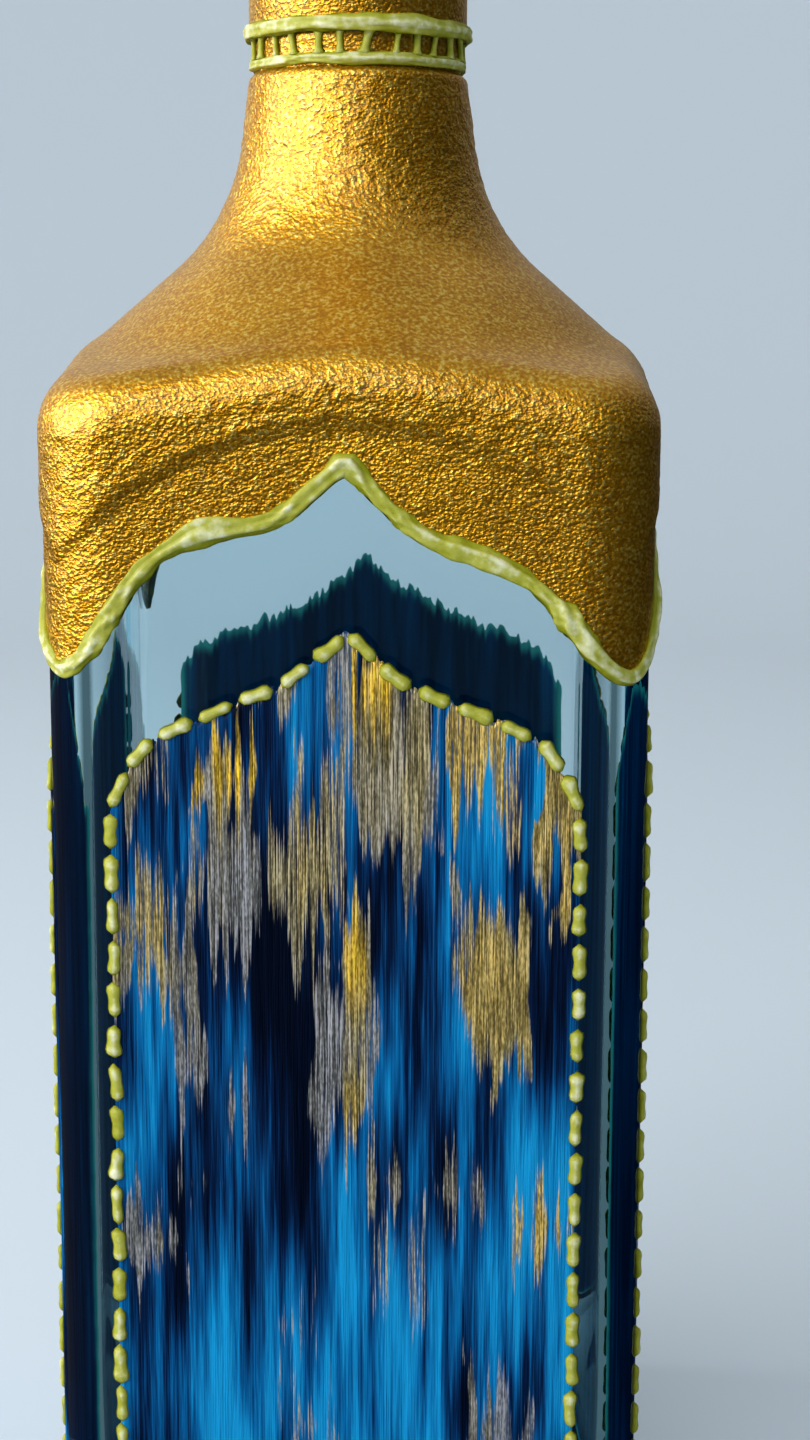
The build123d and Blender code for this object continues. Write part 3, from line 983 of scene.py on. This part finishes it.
# The edge of the paint is torn: under the dashes in front, wider than them elsewhere
edge_grow = np.array([0.1, 0.5, 1.9, 0.5]) * mm
edge_widen = np.array([0.1, -0.2, 0.5, 2.7]) * mm
edge_torn = np.array([0.35, 0.5, 0.6, 0.5]) * mm
back_shift = 0.8 * mm
column = np.linspace(-1, 1, paint_columns)[None]
row = np.linspace(0, 1, paint_rows)[:, None]
for number, face in enumerate(face_names):
    grow, widen, torn = edge_grow[number], edge_widen[number], edge_torn[number]
    side_noise = lattice_noise(row * [[0, 1, 0]], 0.016, 80 + number)[:, None]
    across = column * (window_half + widen + 0.35 * torn * side_noise)
    # The back window sits a little off its middle
    across = across - (back_shift if face == "back" else 0)
    spot = np.stack([across[-1], 0 * across[-1], 0 * across[-1] + 0.1 * number], -1)
    tongue = lattice_noise(spot, 1.9 * mm, 60 + number)
    tongue = tongue + 1.6 * lattice_noise(spot, 0.4 * mm, 70 + number)
    top = window_top(across / (1 + grow / window_half)) + grow + tongue * torn
    foot = window_foot - grow + 0 * top
    height = foot + (top - foot) * row
    masks = dict(zip(("tone", "dry", "gilt"), brush_masks(across, height, 100 + 10 * number)))
    edge = np.minimum(top - height, height - foot)
    edge = np.minimum((1 - np.abs(column)) * window_half, edge)
    spot = np.stack([across, height, np.zeros_like(across)], -1)
    ridges = lattice_noise(spot, np.array([0.45, 14, 1]) * mm, 30 + number)
    ridges += 0.5 * lattice_noise(spot, np.array([1.3, 25, 1]) * mm, 35 + number)
    relief = (0.18 + (0.07 + 0.05 * masks["dry"]) * ridges) * mm
    relief = relief * smooth_step(edge / (0.5 * mm) + 0.15)
    front = face_points(number, across, height, relief + 0.02 * mm)
    back = face_points(number, across[:, ::-1], height[:, ::-1], 0 * relief - 0.03 * mm)
    skin = np.concatenate([front, back], 1)
    rows, columns = skin.shape[:2]
    index = np.arange(rows * columns).reshape(rows, columns)
    faces = grid_faces(rows, columns)
    faces += lid_faces(index[0], paint_columns).tolist()
    faces += lid_faces(index[-1], paint_columns)[:, ::-1].tolist()
    piece = add_piece(f"paint_{face}", skin, faces, paint_material, f"panel_{face}", "window_paint")
    piece.data.materials.append(under_material)
    under = np.zeros((rows - 1, columns), np.int32)
    under[:, paint_columns : columns - 1] = 1
    under = np.r_[under.ravel(), np.zeros(len(faces) - under.size, np.int32)]
    piece.data.polygons.foreach_set("material_index", under)
    for key, values in masks.items():
        set_attribute(piece, key, np.concatenate([values, 0 * values], 1))
    fringe = 1 - smooth_step((edge + 0.5 * mm * ridges) / (2.2 * mm))
    set_attribute(piece, "fringe", np.concatenate([fringe, fringe[:, ::-1]], 1))

# %% [markdown]
# ## Rings and bars round the neck
#
# Two rings of the same paste circle the neck, and short bars stand between them. A
# ring is a bead swept round the axis and closed on itself.

# %% Neck rings
def ring_bead(name, radius, foot, width, height):
    """A closed bead round the neck, standing out from the given radius."""
    angle = np.linspace(0, 2 * np.pi, 260, endpoint=False)
    middle = foot + width / 2
    outward = np.stack([np.cos(angle), np.sin(angle), 0 * angle], -1)
    centre = outward * radius + [0, 0, middle]
    along = np.stack([-np.sin(angle), np.cos(angle), 0 * angle], -1)
    points, crest = sweep_bead(centre, along, outward, width, height, wander=0.2)
    faces = tyre_faces(*points.shape[:2])
    piece = add_piece(f"{name}_paste", points, faces, paste_material, name, paste_slot)
    set_attribute(piece, "crest", crest)


groove_radius = neck_radius + 0.45 * mm
ring_foot = extent("neck_bead_lower")[1] - 0.1 * mm
ring_bead("neck_bead_lower", groove_radius, ring_foot, 1.4 * mm, 0.8 * mm)
ring_foot = extent("neck_bead_upper")[1] - 0.6 * mm
ring_bead("neck_bead_upper", sleeve_radius - 0.05 * mm, ring_foot, 2.15 * mm, 0.8 * mm)

# %% Neck bars
bar_count = 26
bar_height = 0.75 * mm
_, bar_foot, bar_top = extent("neck_bars")
rng = np.random.default_rng(3)
bar_angle = (np.arange(bar_count) + rng.normal(0, 0.13, bar_count)) / bar_count * 2 * np.pi
bar_lean = rng.normal(0, 0.3, (bar_count, 1, 1)) * mm
upward = np.linspace(-1, 1, 9)[:, None]
angle = np.linspace(0, 2 * np.pi, 10, endpoint=False)[None]
# A bar is drawn in at its middle and runs out into both rings
waist = 0.62 + 0.62 * upward**4
half_width = 0.8 * mm * waist * (1 + rng.normal(0, 0.14, (bar_count, 1, 1)))
side = half_width * np.cos(angle) + bar_lean * upward
dome = np.where(np.sin(angle) > 0, np.sin(angle), 0.06 * np.sin(angle))
out = np.broadcast_to(bar_height * (0.8 + 0.2 * upward**2) * dome, side.shape)
height = (bar_foot + bar_top) / 2 + upward * (bar_top - bar_foot + 0.6 * mm) / 2 + 0 * side
spot = bar_angle[:, None, None] + side / neck_radius
skins = many_skins(around_axis(spot, groove_radius + out, height), flip=True)
bars = add_piece("neck_bars_paste", *skins, paste_material, "neck_bars", paste_slot)
set_attribute(bars, "crest", many_crests(np.clip(out / bar_height, 0, 1), 0.3))

# %% [markdown]
# ## Sleeve and stopper
#
# Above the rings a sleeve covers the finish of the neck, painted gold over grey. A bar
# top stopper closes the bore: a round gold head on a natural cork.

# %% Sleeve, head and cork
def turned_points(outline, columns=128):
    """A profile of (radius, height) points carried round the axis."""
    outline = np.asarray(outline)
    angle = np.arange(columns)[None] / columns * 2 * np.pi
    return around_axis(angle, outline[:, :1], outline[:, 1:])


near_axis = 1 * mm
bore_side = neck_radius + 0.02 * mm
sleeve_foot_edge = [(bore_side, sleeve_foot), (sleeve_radius, sleeve_foot)]
sleeve_top_edge = [(sleeve_radius, sleeve_top), (bore_side, sleeve_top)]
sleeve_outline = rounded_path(sleeve_foot_edge + sleeve_top_edge, [0.25 * mm, 0.5 * mm], 6)
sleeve_points = turned_points(sleeve_outline)

sleeve_material, sleeve_shader, node = new_material("painted_sleeve")
bare_height = sleeve_foot + 0.3 * mm
height = node("SeparateXYZ", {"Vector": object_place(node)}).outputs["Z"]
painted = map_range(node, height, bare_height, bare_height + 0.15 * mm)
gold_with_painted_light, gold_height = grain_nodes(node, cloud_scale=140.0)
sleeve_looks = {
    "Base Color": mix(node, painted, srgb(150, 165, 175), gold_with_painted_light, data_type="RGBA"),
    "Metallic": calculate(node, "MULTIPLY", painted, gold_metallic),
    "Normal": bump(node, gold_height, painted, grain_depth),
}
fill_inputs(sleeve_shader, {**sleeve_looks, **gold_shine})
faces = tyre_faces(*sleeve_points.shape[:2])
add_piece("sleeve", sleeve_points, faces, sleeve_material, "neck_sleeve", "sleeve")

# %% Stopper
socket_radius = cork_radius + 0.05 * mm
socket_top = head_foot + 4 * mm
head_corners = [(head_radius, head_foot), (head_radius, head_top), (near_axis, head_top)]
head_outline = rounded_path(
    [(socket_radius, socket_top), (socket_radius, head_foot), *head_corners],
    [0, 0.6 * mm, 1.8 * mm],
    8,
)
head_outline = np.vstack([[(near_axis, socket_top)], head_outline])
head_skin = skin_with_poles(turned_points(head_outline))
add_piece("stopper_top", *head_skin, gold_material, "stopper_head", "stopper_head", "stopper")

cork_outline = rounded_path(
    [(near_axis, cork_foot), (cork_radius, cork_foot), (cork_radius, cork_top), (near_axis, cork_top)],
    [1 * mm, 0.1 * mm],
    6,
)
cork_material, cork_shader, node = new_material("natural_cork")
place = object_place(node)
pores = node("TexVoronoi", {"Vector": place, "Scale": 500.0}).outputs["Distance"]
browns = [(0.3, srgb(112, 72, 40)), (0.48, srgb(178, 130, 82)), (0.75, srgb(206, 162, 112))]
cork_looks = {
    "Base Color": ramp(node, noise(node, place, 260.0, 5.0), browns),
    "Roughness": 0.85,
    "Normal": bump(node, pores, 0.4, 0.3 * mm),
}
fill_inputs(cork_shader, cork_looks)
cork_skin = skin_with_poles(turned_points(cork_outline, 96))
add_piece("cork", *cork_skin, cork_material, "stopper_cork", "cork", "stopper")

# %% [markdown]
# ## Floor, light and camera
#
# The bottle stands on a pale sheet that curves up into a wall all round. A large soft
# lamp lights it from the left, and a weaker one fills from in front. Metal and glass
# mirror a room of their own, whose light depends on the way they look into it. The
# lamps and that room are what you would change first for another mood.

# %% The pale sheet
sheet_radius = 1.6
sheet_height = 2.4
sheet_round = 0.7
sheet_corners = [(0.02, 0.0), (sheet_radius, 0.0), (sheet_radius, sheet_height)]
sheet_outline = rounded_path(sheet_corners, [sheet_round], 24)
sheet_points = turned_points(sheet_outline, 96)
rows, columns = sheet_points.shape[:2]
sheet_faces = grid_faces(rows, columns) + fan_faces(np.arange(columns), rows * columns, flip=True)
sheet_faces = [face[::-1] for face in sheet_faces]
sheet_points = np.vstack([sheet_points.reshape(-1, 3), [(0, 0, 0)]])
pale = srgb(189, 200, 208)
sheet_material, sheet_shader, node = new_material("pale_sweep")
stage = smooth_mesh("sweep", sheet_points, sheet_faces, sheet_material)

lamp_way = (-0.93, -0.36, 0.0)
bright_way = (-0.62, 0.25, 0.5)
place = object_place(node)
way = node("VectorMath", {0: place}, operation="NORMALIZE").outputs["Vector"]
to_lamp, to_bright = (
    node("VectorMath", {0: way, 1: aim}, operation="DOT_PRODUCT").outputs["Value"]
    for aim in (lamp_way, bright_way)
)
behind, upward = (node("SeparateXYZ", {"Vector": way}).outputs[axis] for axis in "YZ")

# The sheet is greyer under the key lamp, where it would turn white
away = node("VectorMath", {0: place}, operation="LENGTH").outputs["Value"]
away = map_range(node, away, 0.35, 0.9)
flat = map_range(node, node("SeparateXYZ", {"Vector": place}).outputs["Z"], 0.35, 0.1)
away = calculate(node, "MULTIPLY", away, flat)
greyer = calculate(node, "MULTIPLY", away, map_range(node, to_lamp, 0.1, 0.8))
greyer = calculate(node, "MULTIPLY", greyer, 0.65)
sheet_tone = mix(node, greyer, pale, (0, 0, 0, 1), data_type="RGBA")

# Rays that come straight from the camera, or through glass or metal, see it a little brighter
rays = node("LightPath").outputs
through = rays["Is Transmission Ray"]
seen = calculate(node, "MAXIMUM", rays["Is Camera Ray"], through)
seen = calculate(node, "MAXIMUM", seen, rays["Is Glossy Ray"])
sheet_looks = {
    "Base Color": sheet_tone,
    "Roughness": 0.9,
    "Emission Color": pale,
    "Emission Strength": calculate(node, "MULTIPLY", seen, 0.38),
}
fill_inputs(sheet_shader, sheet_looks)

# %% The room that metal and glass mirror
# It is bright behind the bottle, above and on the left, and dark low down
room = map_range(node, to_bright, -0.2, 0.7, 0.02, 1.0)
dim_room = calculate(node, "MULTIPLY", room, map_range(node, upward, 0.0, 0.12, 0.08))
# Through the glass the sheet itself is seen straight behind the bottle, and the room elsewhere
through_room = 0.22
strength = mix(node, through, dim_room, through_room)
room_colour = mix(node, through, srgb(206, 204, 198), srgb(176, 210, 222), data_type="RGBA")
mirror = node("Emission", {"Strength": strength, "Color": room_colour})
clear = calculate(node, "MULTIPLY", through, map_range(node, behind, 0.35, 0.8))
mirrored = node("Math", {0: rays["Is Glossy Ray"], 1: clear}, operation="SUBTRACT")
mirrored.use_clamp = True
chosen = {0: mirrored.outputs[0], 1: sheet_shader.outputs[0], 2: mirror.outputs[0]}
chosen = node("MixShader", chosen).outputs[0]
fill_inputs(sheet_material.node_tree.nodes["Material Output"], {"Surface": chosen})
print(sheet_material.name, "made of", len(sheet_material.node_tree.nodes), "nodes")

# %% Lamps and world
lamp_target = (0, 0, 0.15)


def soft_lamp(name, place, wide, high, power):
    """A flat area lamp that looks at the middle of the bottle; only its light is seen."""
    light = bpy.data.lights.new(name, "AREA")
    light.shape = "RECTANGLE"
    light.size = wide
    light.size_y = high
    light.energy = power
    lamp = bpy.data.objects.new(name, light)
    bpy.context.scene.collection.objects.link(lamp)
    lamp.location = place
    lamp.visible_camera = False
    lamp.visible_transmission = False
    toward_bottle = Vector(lamp_target) - Vector(place)
    lamp.rotation_euler = toward_bottle.to_track_quat("-Z", "Y").to_euler()
    print(name, "lamp at", place, power, "watts")


soft_lamp("key", (-0.93, -0.36, 0.58), 1.3, 0.8, 16.5)
soft_lamp("fill", (-0.3, -0.95, 0.85), 0.9, 0.8, 4.5)
world = bpy.data.worlds.new("studio")
world.use_nodes = True
sky = {"Color": (0.8, 0.83, 0.86, 1), "Strength": 0.47}
fill_inputs(world.node_tree.nodes["Background"], sky)
bpy.context.scene.world = world
bpy.context.scene.view_settings.view_transform = "Standard"

# %% Camera
eye_height = 177 * mm
eye_distance = 336.1 * mm
eye_turn = np.radians(2.386)
view_turn = eye_turn - np.radians(1.160)
view_down = np.radians(10.0)
view_roll = np.radians(0.194)
sensor_width = 36
lens_pixels = 2348.3
frame_height_pixels = 1440

level = Vector((np.cos(view_turn), np.sin(view_turn), 0))
ahead = np.array([-np.sin(view_turn), np.cos(view_turn), 0])
forward = Vector(ahead * np.cos(view_down) - [0, 0, np.sin(view_down)])
upwards = level.cross(forward)
right = level * np.cos(view_roll) + upwards * np.sin(view_roll)
upwards = upwards * np.cos(view_roll) - level * np.sin(view_roll)
camera_data = bpy.data.cameras.new("camera")
camera_data.sensor_width = sensor_width
camera_data.lens = sensor_width * lens_pixels / frame_height_pixels
camera = bpy.data.objects.new("camera", camera_data)
bpy.context.scene.collection.objects.link(camera)
eye = Vector((eye_distance * np.sin(eye_turn), -eye_distance * np.cos(eye_turn), eye_height))
turn = Matrix((right, upwards, -forward)).transposed().to_4x4()
camera.matrix_world = Matrix.Translation(eye) @ turn
camera_data.clip_start = 0.01
bpy.context.scene.camera = camera
print("camera", camera_data.lens, tuple(eye))
